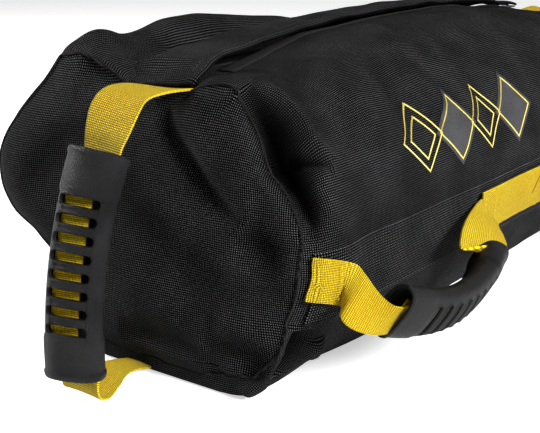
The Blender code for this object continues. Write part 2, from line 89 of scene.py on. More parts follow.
def throughPoints(points, count, steps=24):
    # count places, evenly spread along a smooth line through the given points
    pts = [Vector(p) for p in points]
    pts = [2 * pts[0] - pts[1]] + pts + [2 * pts[-1] - pts[-2]]
    dense = []
    for a, b, c, d in zip(pts, pts[1:], pts[2:], pts[3:]):
        for step in range(steps):
            t = step / steps
            dense.append(0.5 * (2 * b + (c - a) * t + (2 * a - 5 * b + 4 * c - d) * t * t
                                + (3 * b - a - 3 * c + d) * t ** 3))
    dense.append(pts[-2])
    reach = reachAlong(dense)
    out = []
    k = 0
    for index in range(count):
        goal = reach[-1] * index / (count - 1)
        while k < len(reach) - 2 and reach[k + 1] < goal:
            k += 1
        span = reach[k + 1] - reach[k]
        out.append(dense[k].lerp(dense[k + 1], (goal - reach[k]) / span if span else 0))
    return out


def placeObject(name, data):
    item = bpy.data.objects.new(name, data)
    bpy.context.scene.collection.objects.link(item)
    return item


def layUv(bm, place):
    uv = bm.loops.layers.uv.new("UVMap")
    for face in bm.faces:
        for loop in face.loops:
            loop[uv].uv = place(loop.vert.co)


def sheetMesh(columns, rows, place, uvPlace=None):
    # a grid whose places, from -1 to 1 both ways, go where the given function says
    bm = bmesh.new()
    bmesh.ops.create_grid(bm, x_segments=columns, y_segments=rows, size=1)
    if uvPlace:
        layUv(bm, uvPlace)
    for vert in bm.verts:
        vert.co = place(vert.co.x, vert.co.y)
    return bm


webbingEdge = {"width": 0.0006, "segments": 2, "angle": 50}


def finish(name, bm, material, body, nodes=(), wall=None, edged=False):
    # wall: thickness, and where it lies about the modelled surface
    mesh = bpy.data.meshes.new(name)
    bm.to_mesh(mesh)
    bm.free()
    mesh.shade_smooth()
    mesh.materials.append(finishes[material])
    piece = placeObject(name, mesh)
    if body:
        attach(piece, body)
    if nodes:
        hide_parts(*nodes)
    if wall:
        solid = piece.modifiers.new("wall", "SOLIDIFY")
        solid.thickness, solid.offset = wall
    if edged:
        edge = piece.modifiers.new("edge", "BEVEL")
        edge.width = webbingEdge["width"]
        edge.segments = webbingEdge["segments"]
        edge.limit_method = "ANGLE"
        edge.angle_limit = math.radians(webbingEdge["angle"])
    return piece


# camera: fitted to the straight lines of the straps and the end seam

camera = {"place": (-0.8695, -0.4942, 0.3306), "turn": -53.95, "down": 16.25, "lens": 72.16, "sensor": 36,
          "width": 540, "height": 433, "nearest": 0.01}


def makeCamera():
    data = bpy.data.cameras.new("photoCamera")
    data.lens = camera["lens"]
    data.sensor_width = camera["sensor"]
    data.clip_start = camera["nearest"]
    item = placeObject("photoCamera", data)
    item.location = camera["place"]
    item.rotation_euler = (math.radians(90 - camera["down"]), 0, math.radians(camera["turn"]))
    bpy.context.scene.camera = item


def sightLine(px, py):
    # direction from the camera through a place in the 540 x 433 frame
    turn, down = math.radians(camera["turn"]), math.radians(camera["down"])
    ahead = Vector((-math.sin(turn) * math.cos(down), math.cos(turn) * math.cos(down), -math.sin(down)))
    right = Vector((math.cos(turn), math.sin(turn), 0))
    up = right.cross(ahead)
    focal = camera["lens"] / camera["sensor"] * camera["width"]
    return (ahead + right * ((px - camera["width"] / 2) / focal)
            - up * ((py - camera["height"] / 2) / focal)).normalized()


def firstSeen(trees, px, py):
    # the nearest of these surfaces at a place in the frame, None where there is none
    hits = [tree.ray_cast(Vector(camera["place"]), sightLine(px, py)) for tree in trees]
    hits = [hit for hit in hits if hit[0] is not None]
    return min(hits, key=lambda hit: hit[3])[0] if hits else None


makeCamera()
print("camera set")


# materials

def newMaterial(name):
    made = bpy.data.materials.new(name)
    made.use_nodes = True
    return made, made.node_tree, made.node_tree.nodes["Principled BSDF"]


def feed(tree, node, values):
    # numbers, colours and other nodes' outputs into a node's inputs
    for key, value in values.items():
        if isinstance(value, bpy.types.NodeSocket):
            tree.links.new(value, node.inputs[key])
        else:
            node.inputs[key].default_value = (*value, 1) if isinstance(value, tuple) else value


def addNode(tree, kind, values=None, **settings):
    node = tree.nodes.new("ShaderNode" + kind)
    for setting, value in settings.items():
        setattr(node, setting, value)
    feed(tree, node, values or {})
    return node


def mathNode(tree, operation, *values):
    return addNode(tree, "Math", dict(enumerate(values)), operation=operation).outputs[0]


def mixColour(tree, share, first, second):
    return addNode(tree, "Mix", {0: share, 6: first, 7: second}, data_type="RGBA").outputs[2]


def noiseValue(tree, coords, scale, detail):
    place = coords.outputs["Object"]
    grain = addNode(tree, "TexNoise", {"Scale": scale, "Detail": detail, "Vector": place}).outputs["Fac"]
    return addNode(tree, "MapRange", {"From Min": 0.35, "From Max": 0.65, "Value": grain}).outputs["Result"]


def bumpFrom(tree, height, strength, distance):
    bump = addNode(tree, "Bump", {"Strength": strength, "Distance": distance, "Height": height})
    return bump.outputs["Normal"]


def surfaceCoords(tree, onUv):
    # metres across and along the cloth, from the piece's own map or from its place
    coords = addNode(tree, "TexCoord")
    split = addNode(tree, "SeparateXYZ", {0: coords.outputs["UV" if onUv else "Object"]}).outputs
    return coords, split[0], split[1] if onUv else mathNode(tree, "ADD", split[1], split[2])


def weaveHeight(tree, across, along, pitch):
    # little pillows, every second one turned
    waves = [mathNode(tree, "SINE", mathNode(tree, "MULTIPLY", way, math.pi / step))
             for way, step in ((across, pitch[0]), (along, pitch[1]))]
    over = mathNode(tree, "GREATER_THAN", mathNode(tree, "MULTIPLY", *waves), 0.0)
    sizes = [mathNode(tree, "ABSOLUTE", wave) for wave in waves]
    warp, weft = [mathNode(tree, "MULTIPLY", mathNode(tree, "POWER", blunt, 0.35),
                           mathNode(tree, "POWER", ridge, 0.9))
                  for blunt, ridge in (sizes, sizes[::-1])]
    return addNode(tree, "Mix", {0: over, 2: weft, 3: warp}).outputs[0]


def wovenMaterial(name, colours, pitch, depth, roughness, onUv=False, level=0.15, gather=1.0):
    made, tree, shader = newMaterial(name)
    coords, across, along = surfaceCoords(tree, onUv)
    gap, thread, worn = [colour if len(colour) == 3 else (colour[0], *colour) for colour in colours]
    height = weaveHeight(tree, across, along, pitch)
    fuzz = noiseValue(tree, coords, 900, 2.0)
    cloud = noiseValue(tree, coords, 28, 4.0)
    yarn = mixColour(tree, cloud, thread, worn)
    yarn = mixColour(tree, mathNode(tree, "MULTIPLY", fuzz, 0.35), yarn, gap)
    # the weave is the cloth's own pattern, but its dark gap colour is painted shade in the hollows, and where
    # the thread tops are far lighter than the cloth, as on the black cloth and band, they are a painted
    # highlight
    colour = mixColour(tree, mathNode(tree, "POWER", height, gather), gap, yarn)
    # painted shade: along inward folds the colour is drawn towards the gap colour, by the amount the folds
    # stored per point
    creaseShade = addNode(tree, "Attribute", attribute_name="creaseShade").outputs["Fac"]
    total = mathNode(tree, "MULTIPLY_ADD", fuzz, 0.18, height)
    feed(tree, shader, {
        "Base Color": mixColour(tree, mathNode(tree, "MINIMUM", creaseShade, 0.92), colour, gap),
        "Roughness": mathNode(tree, "MULTIPLY_ADD", fuzz, 0.12, roughness - 0.06),
        "Normal": bumpFrom(tree, total, 0.8, depth), "Specular IOR Level": level})
    return made


def rubberMaterial(name, colour, worn, roughness, stipple):
    made, tree, shader = newMaterial(name)
    coords = addNode(tree, "TexCoord")
    grain = noiseValue(tree, coords, stipple, 2.0)
    cloud = noiseValue(tree, coords, 45, 3.0)
    feed(tree, shader, {
        "Base Color": mixColour(tree, cloud, colour, worn),
        "Roughness": mathNode(tree, "MULTIPLY_ADD", cloud, 0.14, roughness),
        "Normal": bumpFrom(tree, grain, 0.75, 0.0006), "Specular IOR Level": 0.16})
    return made


def metalMaterial(name, colour, roughness):
    made, tree, shader = newMaterial(name)
    cloud = noiseValue(tree, addNode(tree, "TexCoord"), 300, 3.0)
    feed(tree, shader, {
        "Base Color": mixColour(tree, cloud, colour, tuple(1.6 * c for c in colour)),
        "Roughness": mathNode(tree, "MULTIPLY_ADD", cloud, 0.15, roughness),
        "Normal": bumpFrom(tree, cloud, 0.2, 0.0001), "Metallic": 0.8})
    return made


# gap, thread and worn thread, each as grey and blue or in full; pitch both ways; depth; roughness; and
# what differs: whether the weave follows the piece's own map, its shine, and how dark its gaps gather.
# The dark gap colours are painted shade in the weave's hollows; the light thread tops of the black cloth and
# band are a painted highlight
weaves = {
    "bagCloth": (((0.0006, 0.0008), (0.105, 0.107), (0.205, 0.21)), (0.00155, 0.00155), 0.0024, 0.74,
                 {"onUv": True, "level": 0.03, "gather": 9}),
    "bandWebbing": (((0.0006, 0.0008), (0.15, 0.153), (0.3, 0.305)), (0.002, 0.002), 0.0026, 0.7,
                    {"onUv": True, "level": 0.03, "gather": 11}),
    "yellowWebbing": (((0.2, 0.1, 0.003), (1.0, 0.7, 0.01), (1.0, 0.8, 0.025)), (0.0015, 0.0015), 0.0015,
                      0.66, {"onUv": True, "gather": 1.6}),
    "pipingCloth": (((0.001, 0.0013), (0.03, 0.031), (0.06, 0.062)), (0.0012, 0.0012), 0.0006, 0.72,
                    {"level": 0.05, "gather": 4}),
    "zipTape": (((0.004, 0.005), (0.03, 0.032), (0.04, 0.042)), (0.0006, 0.0006), 0.0002, 0.75,
                {"gather": 2}),
    "canvas": (((0.02, 0.022), (0.06, 0.064), (0.08, 0.085)), (0.0011, 0.0011), 0.0004, 0.8, {"gather": 2}),
    "thread": (((0.006, 0.006), (0.05, 0.052), (0.07, 0.073)), (0.0004, 0.0007), 0.0001, 0.55, {}),
    "yellowThread": (((0.5, 0.28, 0.01), (0.85, 0.6, 0.03), (0.92, 0.68, 0.05)), (0.0004, 0.0007), 0.0001,
                     0.55, {}),
    "hookPile": (((0.003, 0.003), (0.04, 0.042), (0.06, 0.062)), (0.0008, 0.0008), 0.0008, 0.8,
                 {"gather": 3}),
}
# colour, worn colour, roughness and how fine its stipple is
rubbers = {
    "gripRubber": ((0.003, 0.003, 0.0036), (0.01, 0.01, 0.011), 0.34, 1700),
    "printGloss": ((0.03, 0.03, 0.032), (0.042, 0.042, 0.045), 0.3, 900),
    "printLine": ((0.62, 0.5, 0.1), (0.74, 0.62, 0.18), 0.4, 900),
    "zipCoil": ((0.018, 0.018, 0.019), (0.026, 0.026, 0.028), 0.35, 2500),
}
finishes = {name: wovenMaterial(name, *values, **more) for name, (*values, more) in weaves.items()}
finishes.update({name: rubberMaterial(name, *values) for name, values in rubbers.items()})
finishes["zipMetal"] = metalMaterial("zipMetal", (0.05, 0.05, 0.054), 0.32)
print("materials made")


# the bag: its section at mid length, and at the near end as the seam draws it

bag = {
    "halfLength": 0.332, "setback": 0.024, "height": 0.214, "halfWidth": 0.136, "middle": 0.107,
    "topSwell": 0.1145, "floorSwell": 0.124, "power": 2.6, "thickness": 0.002, "floorGap": 0.0006,
    "waist": 0.03, "topPull": 0.35, "seamEase": 1.3, "turnSteps": 1440,
    "seamPinch": 0.0065, "seamWidth": 0.0065, "puff": 0.0055, "puffAt": 0.03, "puffWidth": 0.022,
    "endBulge": 0.0135, "domePower": 4.5, "rimPower": 7, "rimFrom": 0.29, "endMiddle": 0.104, "endRun": 0.32,
    "bulge": 0.026, "bulgeAt": (0.128, 0.146), "bulgeWidth": (0.05, 0.06), "bulgeRun": 0.06, "farLean": 0.5,
    "hump": metres(
        (-330, 0), (-306, 0), (-288, 6), (-268, 24), (-250, 34), (-200, 49), (-145, 50), (-60, 40),
        (20, 28), (120, 25), (240, 22), (300, 4), (330, 0)),
    "humpAcross": (0.07, 0.112, 0.175), "humpFoot": (0.1, 0.19),
    "crown": metres(
        (-330, 0), (-280, 0), (-250, 4), (-200, 12), (-157, 17.5), (-90, 21), (0, 22.5), (100, 21),
        (200, 12), (262, 5), (310, 0), (330, 0)),
    "crownAcross": (-0.118, -0.03, -0.008, 0.012),
    "cornerLean": 0.007, "cornerAt": (-0.128, 0.098), "cornerWidth": (0.03, 0.036), "cornerRun": 0.03,
    "nearReach": 0.115, "alongCuts": 165, "acrossCuts": 74,
    "nearSeam": metres(
        (0, 207.5), (-21, 208), (-37, 213.5), (-56, 215.5), (-68, 208), (-80, 198.5), (-99, 178),
        (-113.5, 161), (-125, 138), (-129, 118), (-127.5, 88), (-117, 60), (-105.5, 40), (-93, 22),
        (-79, 4), (-60, 1), (0, 1), (56, 2), (75, 14), (94, 40), (100, 58), (108, 72), (125, 90),
        (145, 103), (154, 120), (153, 148), (137, 174), (118, 204), (105, 225), (86, 225.5), (62.6, 219),
        (45, 211), (30, 206.5)),
    "slit": (0.0877, 0.2281, 0.288), "slitRun": 0.308, "weaveRun": 0.325, "weaveRound": 0.131,
    "hemLift": 0.011, "hemRun": 0.0045, "hemRoll": 0.007, "hemTop": (0.006, 0.024),
    "rollAt": 0.009, "rollWidth": 0.006, "weltRadius": 0.0012,
    "rumple": 0.0016, "rumpleScale": 14, "rumpleSeed": 3.7, "rumpleFoot": (0.002, 0.03),
}


def polarTable(loop, softness):
    # distance of a closed outline from its centre for every quarter degree
    angles = np.array([math.atan2(z - bag["middle"], y) for y, z in loop])
    reach = np.array([math.hypot(y, z - bag["middle"]) for y, z in loop])
    order = np.argsort(angles)
    angles, reach = angles[order], reach[order]
    angles = np.concatenate((angles - 2 * math.pi, angles, angles + 2 * math.pi))
    reach = np.concatenate((reach, reach, reach))
    grid = np.linspace(-math.pi, math.pi, bag["turnSteps"], endpoint=False)
    table = np.interp(grid, angles, reach)
    offsets = np.arange(-60, 61)
    weights = np.exp(-(offsets / (4 * softness)) ** 2)
    weights /= weights.sum()
    return sum(w * np.roll(table, -k) for w, k in zip(weights, offsets))


def midReach(angle):
    across, rise = abs(math.cos(angle)), math.sin(angle)
    swell = bag["topSwell"] if rise > 0 else bag["floorSwell"]
    power = bag["power"]
    reach = ((across / bag["halfWidth"]) ** power + (abs(rise) / swell) ** power) ** (-1 / power)
    limit = bag["middle"] / max(abs(rise), 1e-6)
    return (reach ** -14 + limit ** -14) ** (-1 / 14)  # a rounded turn into the flat top and floor


def endReach(z):
    return bag["halfLength"] - bag["setback"] * min(max(z, 0), bag["height"]) / bag["height"]


nearTable = polarTable(bag["nearSeam"], 1.2)
farTable = polarTable([(-y * 0.90, z) for y, z in bag["nearSeam"]], 3.0)


def tableReach(table, angle):
    place = (angle + math.pi) / (2 * math.pi) * bag["turnSteps"]
    low = int(math.floor(place)) % bag["turnSteps"]
    return mix(table[low], table[(low + 1) % bag["turnSteps"]], place - math.floor(place))


def sectionPlace(run, angle, fromSeam):
    # run: -1 near seam to 1 far seam; fromSeam: metres from the nearer seam
    flank = abs(math.cos(angle))
    pull = mix(bag["topPull"], 1, flank)
    reach = midReach(angle) * mix(1, 1 - bag["waist"] * run * run, flank)
    share = 1 - smooth(0, bag["nearReach"], fromSeam)
    reach = mix(reach, tableReach(nearTable if run < 0 else farTable, angle), share ** bag["seamEase"])
    reach += bag["puff"] * bell(fromSeam - bag["puffAt"], bag["puffWidth"]) * pull
    reach -= bag["seamPinch"] * bell(fromSeam, bag["seamWidth"]) * pull
    return reach * math.cos(angle), max(bag["middle"] + reach * math.sin(angle), bag["floorGap"])


def runTable(points, softness):
    # heights along the bag, every millimetre, with the corners taken off
    runs = np.arange(-0.36, 0.3605, 0.001)
    heights = np.interp(runs, [p[0] for p in points], [p[1] for p in points])
    offsets = np.arange(-30, 31)
    weights = np.exp(-(offsets / softness) ** 2)
    padded = np.pad(heights, 30, mode="edge")
    return runs, np.convolve(padded, weights / weights.sum(), mode="valid")


humpTable = runTable(bag["hump"], 11)
crownTable = runTable(bag["crown"], 11)


def patchWeight(y, z, middle, width):
    return bell(y - middle[0], width[0]) * bell(z - middle[1], width[1])


def settled(place, run):
    # the sand leans against the back of the near end and stands up on both sides of the zip
    x, y, z = place
    fromEnd = (1 - abs(run)) * bag["endRun"]
    bulge = patchWeight(y, z, bag["bulgeAt"], bag["bulgeWidth"]) * bell(fromEnd, bag["bulgeRun"])
    lean = bag["bulge"] * bulge
    low, crest, high = bag["humpAcross"]
    across = smooth(low, crest, y) if y < crest else 1 - smooth(crest, high, y)
    outer, full, edge, foot = bag["crownAcross"]
    front = smooth(outer, full, y) * (1 - smooth(edge, foot, y))
    rise = float(np.interp(x, *humpTable)) * across + float(np.interp(x, *crownTable)) * front
    rise *= smooth(*bag["humpFoot"], z)
    corner = patchWeight(y, z, bag["cornerAt"], bag["cornerWidth"]) * bell(fromEnd, bag["cornerRun"])
    lean = lean + bag["cornerLean"] * corner if run < 0 else -lean * bag["farLean"]
    # the bottom hem stands off the floor, with the cloth rolling out below it
    low = 1 - smooth(*bag["hemTop"], z)
    roll = bag["hemRoll"] * low * bell(fromEnd - bag["rollAt"], bag["rollWidth"])
    rise += bag["hemLift"] * low * bell(fromEnd, bag["hemRun"])
    return Vector((x - lean + math.copysign(roll, run), y, z + rise))


def cubeGrid(alongCuts, acrossCuts):
    bm = bmesh.new()
    bmesh.ops.create_cube(bm, size=2)
    for axis, cuts in ((0, alongCuts), (1, acrossCuts), (2, acrossCuts)):
        edges = [e for e in bm.edges if abs(e.verts[0].co[axis] - e.verts[1].co[axis]) > 1e-5]
        bmesh.ops.subdivide_edges(bm, edges=edges, cuts=cuts, use_grid_fill=True)
    return bm


def runAt(share):
    # more rings near the near end, where the cloth is seen closely
    t = (share + 1) / 2
    return -1 + 2 * (0.45 * t + 0.55 * t ** 1.7)


def bagCover():
    bm = cubeGrid(bag["alongCuts"], bag["acrossCuts"])
    ends = [f for f in bm.faces if abs(f.normal.x) > 0.9]
    bmesh.ops.delete(bm, geom=ends, context="FACES")
    low, high, reach = bag["slit"]
    mouth = []
    for face in bm.faces:
        spot = face.calc_center_median()
        if spot.z > 0.999 and low < spot.y < high and abs(runAt(spot.x)) * bag["slitRun"] < reach:
            mouth.append(face)
    bmesh.ops.delete(bm, geom=mouth, context="FACES")
    # the per-point layer that carries the painted shade along inward folds
    bm.verts.layers.float.new("creaseShade")

    def weavePlace(co):
        angle = math.atan2(co.z, co.y)
        if angle < -math.pi / 2:
            angle += 2 * math.pi
        return runAt(co.x) * bag["weaveRun"], angle * bag["weaveRound"]

    layUv(bm, weavePlace)
    rows = {}
    for vert in bm.verts:
        rows.setdefault((round(vert.co.y, 4), round(vert.co.z, 4)), []).append(vert)
    rows = [sorted(row, key=lambda v: v.co.x) for row in rows.values()]
    for vert in bm.verts:
        run = runAt(vert.co.x)
        y, z = sectionPlace(run, math.atan2(vert.co.z, vert.co.y), (1 - abs(run)) * bag["endRun"])
        vert.co = settled((run * endReach(z), y, z), run)
    return bm, rows


def layWeave(bm, rows):
    # the weave keeps its pitch along every thread, also where the cloth is folded
    uv = bm.loops.layers.uv["UVMap"]
    for row in rows:
        reach = reachAlong([vert.co for vert in row])
        middle = min(range(len(row)), key=lambda k: abs(row[k].co.x))
        for vert, along in zip(row, reach):
            for loop in vert.link_loops:
                loop[uv].uv.x = along - reach[middle] + row[middle].co.x


def endPanel(side):
    bm = cubeGrid(1, bag["acrossCuts"])
    rest = [f for f in bm.faces if f.normal.x * side < 0.9]
    bmesh.ops.delete(bm, geom=rest, context="FACES")
    # the same per-point layer for the painted shade along inward folds
    bm.verts.layers.float.new("creaseShade")
    shareLayer = bm.verts.layers.float.new("share")
    for vert in bm.verts:
        share = max(abs(vert.co.y), abs(vert.co.z))
        vert[shareLayer] = share
        angle = math.atan2(vert.co.z, vert.co.y) if share > 1e-6 else 0.0
        y, z = sectionPlace(side, angle, 0.0)
        y, z = y * share, bag["endMiddle"] + (z - bag["endMiddle"]) * share
        dome = bag["endBulge"] * (1 - share ** bag["domePower"])
        vert.co = settled((side * (endReach(z) + dome), y, z), side)
    layUv(bm, lambda co: (co.y, co.z))
    return bm


# folds, pressed into the cloth along lines of sight: depth, width, and places in the frame; inward folds also
# get painted shade along them

# darkFrom, darkPower, darkWidth: the inward depth that gets the full painted shade, how the shade grows with
# depth, and its width against the fold's
pressed = {"places": 14, "farDepth": 0.4, "farAcross": 0.92,
           "darkFrom": 0.013, "darkPower": 1.3, "darkWidth": 0.62}
folds = [
    # deep crease beside the end panel, from the top seam down to the band
    (-0.025, 0.0084, (243, 90), (262, 112), (275, 132), (285, 155), (298, 175), (306, 195), (313, 218),
     (317, 240)),
    (0.015, 0.012, (253, 86), (275, 104), (294, 128), (312, 152), (332, 166)),
    (-0.015, 0.0065, (284, 148), (305, 158), (333, 166)),
    (0.005, 0.007, (300, 174), (318, 172), (335, 168)),
    (0.005, 0.01, (306, 178), (318, 196), (326, 225)),
    # top right corner of the end panel
    (0.0035, 0.006, (196, 88), (212, 83), (237, 83)),
    (0.003, 0.009, (236, 84), (250, 100), (270, 128), (280, 150)),
    # soft upright crease on the end panel
    (-0.007, 0.0075, (166, 96), (168, 125), (185, 155), (208, 190), (240, 222)),
    (0.0065, 0.017, (186, 100), (202, 130), (226, 160), (262, 196)),
    (-0.0075, 0.014, (243, 226), (262, 250), (276, 280)),
    (-0.005, 0.016, (120, 190), (150, 230), (185, 262), (225, 280)),
    (0.0045, 0.016, (112, 250), (140, 290), (180, 320)),
    (-0.005, 0.01, (120, 330), (150, 335), (190, 350), (225, 375)),
    # fold at the lower right of the end panel
    (0.0105, 0.0065, (293, 326), (280, 350), (262, 375), (243, 394)),
    (-0.017, 0.007, (301, 330), (290, 352), (274, 377), (256, 393)),
    (0.008, 0.008, (318, 338), (306, 356), (286, 380)),
    (0.005, 0.011, (213, 322), (245, 332), (285, 343)),
    (-0.005, 0.012, (200, 347), (235, 352), (262, 362)),
    # the back corner's ear and the valley beside the top seam
    (0.004, 0.005, (70, 56), (90, 58), (112, 68), (133, 82)),
    (-0.0035, 0.01, (80, 66), (100, 74), (120, 92)),
    (-0.008, 0.007, (151, 84), (157, 70), (163, 62), (178, 50)),
    # long soft folds on the side
    (-0.004, 0.014, (345, 34), (372, 62), (398, 100), (418, 140)),
    (0.004, 0.016, (362, 24), (400, 55), (430, 92), (452, 130)),
    (-0.0022, 0.016, (412, 16), (452, 52), (484, 100), (508, 150)),
    (0.0022, 0.018, (450, 10), (490, 40), (520, 80), (538, 120)),
    (-0.005, 0.014, (290, 60), (300, 90), (322, 120), (352, 150)),
    (0.0035, 0.014, (318, 55), (335, 80), (362, 108), (388, 150)),
]


def pressFolds(bm, lines):
    bm.normal_update()
    spots = np.array([v.co[:] for v in bm.verts])
    normals = np.array([v.normal[:] for v in bm.verts])
    shift = np.zeros(len(spots))
    shade = np.zeros(len(spots))
    for depth, width, places in lines:
        path = np.array([p[:] for p in places])
        best = np.full(len(spots), 9.0)
        run = np.zeros(len(spots))
        count = len(path) - 1
        for k in range(count):
            step = path[k + 1] - path[k]
            t = np.clip(((spots - path[k]) @ step) / (step @ step), 0, 1)
            gap = np.linalg.norm(spots - path[k] - t[:, None] * step, axis=1)
            closer = gap < best
            best[closer] = gap[closer]
            run[closer] = (k + t[closer]) / count
        fade = np.sin(np.pi * np.clip(run, 0, 1)) ** 0.5
        shift += depth * fade * np.exp(-(best / width) ** 2)
        # inward folds get painted shade: the cloth's colour is darkened along them, stored per point for the
        # material
        if depth < 0:
            deep = min(1.0, (-depth / pressed["darkFrom"]) ** pressed["darkPower"])
            shade = np.maximum(shade, deep * fade * np.exp(-(best / (pressed["darkWidth"] * width)) ** 2))
    layer = bm.verts.layers.float["creaseShade"]
    for vert, normal, amount, dark in zip(bm.verts, normals, shift, shade):
        vert[layer] = float(dark)
        vert.co += Vector(normal) * float(amount)
        vert.co.z = max(vert.co.z, bag["floorGap"])


def rumple(bm):
    # slow unevenness of the filled cloth
    size, scale, seed = bag["rumple"], bag["rumpleScale"], bag["rumpleSeed"]
    bm.normal_update()
    for vert in bm.verts:
        spot = Vector(vert.co)
        level = smooth(*bag["rumpleFoot"], spot.z)
        stretched = Vector((spot.x * scale, spot.y * scale * 1.3, spot.z * scale * 1.3))
        slow = noise.noise(stretched + Vector((seed, 0, 0)))
        fine = noise.noise(spot * scale * 3.1 + Vector((0, seed, 0)))
        vert.co += vert.normal * (slow * size + fine * size * 0.35) * level
        vert.co.z = max(vert.co.z, bag["floorGap"])


def roundEnd(spot):
    return math.atan2(spot.z - bag["endMiddle"], spot.y)


def rimPlaces(bm, side):
    # the boundary at one end, in order round the bag
    rim = {v for e in bm.edges if len(e.link_faces) == 1 for v in e.verts if v.co.x * side > bag["rimFrom"]}
    return sorted(rim, key=lambda v: roundEnd(v.co))


def sewn(panel, order, places):
    # the panel's rim goes where the cover's rim is, and its cloth follows inwards
    angles = [roundEnd(vert.co) for vert in order]
    shifts = np.array([(place - vert.co)[:] for vert, place in zip(order, places)])
    layer = panel.verts.layers.float["share"]
    for vert in panel.verts:
        angle = roundEnd(vert.co)
        shift = Vector([float(np.interp(angle, angles, shifts[:, k], period=2 * math.pi)) for k in range(3)])
        vert.co = vert.co + shift * vert[layer] ** bag["rimPower"]
    for vert, place in zip(order, places):
        vert.co = place


def welt(name, places):
    # the piped seam round an end
    curve = bpy.data.curves.new(name, "CURVE")
    curve.dimensions = "3D"
    curve.bevel_depth = bag["weltRadius"]
    curve.bevel_resolution = 3
    line = curve.splines.new("POLY")
    line.points.add(len(places) - 1)
    for point, spot in zip(line.points, places):
        point.co = (*spot, 1)
    line.use_cyclic_u = True
    curve.materials.append(finishes["pipingCloth"])
    piece = placeObject(name, curve)
    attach(piece, "bag")


def buildBag():
    cover, rows = bagCover()
    panels = {side: endPanel(side) for side in (-1, 1)}
    rims = {side: (rimPlaces(cover, side), rimPlaces(panels[side], side)) for side in (-1, 1)}
    trees = [BVHTree.FromBMesh(cover), BVHTree.FromBMesh(panels[-1])]
    lines = []
    for depth, width, *pixels in folds:
        places = [firstSeen(trees, *pixel) for pixel in pixels]
        path = throughPoints([place for place in places if place is not None], pressed["places"])
        lines.append((depth, width, path))
        # the far end and the back are folded alike but less, turned about the bag's middle
        turned = [Vector((-p.x, -p.y * pressed["farAcross"], p.z)) for p in path]
        lines.append((depth * pressed["farDepth"], width, turned))
    for bm in (cover, *panels.values()):
        pressFolds(bm, lines)
        rumple(bm)
    for side, end in ((-1, "Near"), (1, "Far")):
        coverRim, panelRim = rims[side]
        places = [v.co.copy() for v in coverRim]
        sewn(panels[side], panelRim, places)
        welt(f"seamWelt{end}", places)
    layWeave(cover, rows)
    wall = (bag["thickness"], -1)
    coverPiece = finish("bagCover", cover, "bagCloth", "bag", ["body_cover"], wall)
    for side, end in ((-1, "near"), (1, "far")):
        piece = finish(f"endPanel{end.title()}", panels[side], "bagCloth", "bag",
                       [f"end_panel_{end}"], wall)
    return coverPiece


coverPiece = buildBag()
print("bag built")


# side bands: heavy webbing sewn along the bag

band = {"height": 0.088, "width": 0.050, "lift": 0.0006, "thickness": 0.0020, "end": 0.3195,
        "columns": 150, "rows": 10}


def treeOf(piece):
    return BVHTree.FromObject(piece, bpy.context.evaluated_depsgraph_get())


clothTree = treeOf(coverPiece)


probe = {"from": 0.4, "tries": 8, "stepIn": 0.004, "flank": 0.13}


def sideHit(tree, x, z, side):
    # how far out a surface lies at this place, seen from that side
    hit = tree.ray_cast(Vector((x, side * probe["from"], z)), Vector((0, -side, 0)))[0]
    return None if hit is None else hit.y


def onCloth(x, z, side, lift):
    # a place on the cloth, or past its end as far out as the nearest place inwards
    found = (sideHit(clothTree, x * (1 - probe["stepIn"] * step), z, side) for step in range(probe["tries"]))
    y = next((y for y in found if y is not None), side * probe["flank"])
    return Vector((x, y + side * lift, z))


def bandPiece(side, label):
    def place(u, v):
        return onCloth(u * band["end"], band["height"] + v * band["width"] / 2, side, band["lift"])

    bm = sheetMesh(band["columns"], band["rows"], place,
                   lambda co: (co.x * band["end"], co.y * band["width"] / 2))
    bmesh.ops.smooth_vert(bm, verts=bm.verts, factor=0.5, use_axis_x=False, use_axis_y=True, use_axis_z=False)
    if side > 0:
        bmesh.ops.reverse_faces(bm, faces=bm.faces)
    return finish(f"sideBand{label}", bm, "bandWebbing", "bag",
                  [f"side_band_{label.lower()}"], (band["thickness"], 1), True)


bands = {-1: bandPiece(-1, "Front"), 1: bandPiece(1, "Back")}
print("side bands laid")


# flap: one sheet over the zip, sewn down behind it, hemmed and double-stitched in front

flap = {
    "rootAcross": 0.058, "crestAcross": 0.025, "thickness": 0.002, "alongCuts": 150, "acrossCuts": 30,
    "hemRise": 0.0018, "hemEdge": (0.0115, 0.0145), "stitchLines": (0.003, 0.0105),
    "stitchDeep": 0.0009, "stitchWide": 0.0011, "endRoll": 0.002, "rollWidth": 0.0022,
    "ripple": 0.0014, "rippleFrom": (0, 0.3), "rippleScale": (26, 30), "rippleSeed": 4.2,
    "weaveAcross": 0.036, "fastener": (-0.262, 0.238), "fastenerThickness": 0.0012, "fastenerCells": (100, 6),
    # place along, root height, crest height, front edge across and its height
    "stations": metres(
        (-307, 207, 207.5, -20, 209), (-302, 209, 209.2, -21.5, 215), (-294, 211.5, 212, -22, 219),
        (-284, 214.5, 223.5, -20, 223.5), (-270, 216, 226.2, -17.2, 226.2),
        (-256, 216.5, 228.5, -15.5, 227.5), (-236, 216.8, 230, -14, 228), (-215, 217, 233, -13, 229.8),
        (-195, 217, 235, -12, 232.2), (-164, 217.2, 237.2, -10, 235), (-100, 217.5, 238.5, -8, 237.8),
        (-20, 217.5, 240, -6, 239.6), (60, 217.5, 240, -6, 239), (140, 217.2, 237, -6.5, 235.8),
        (200, 217, 232, -7.5, 230.5), (240, 216.5, 226, -9, 225), (252, 216.2, 223.6, -9.5, 222.6)),
}
flapTable = np.array(flap["stations"])


def flapRow(x):
    return [float(np.interp(x, flapTable[:, 0], flapTable[:, k])) for k in range(1, 5)]


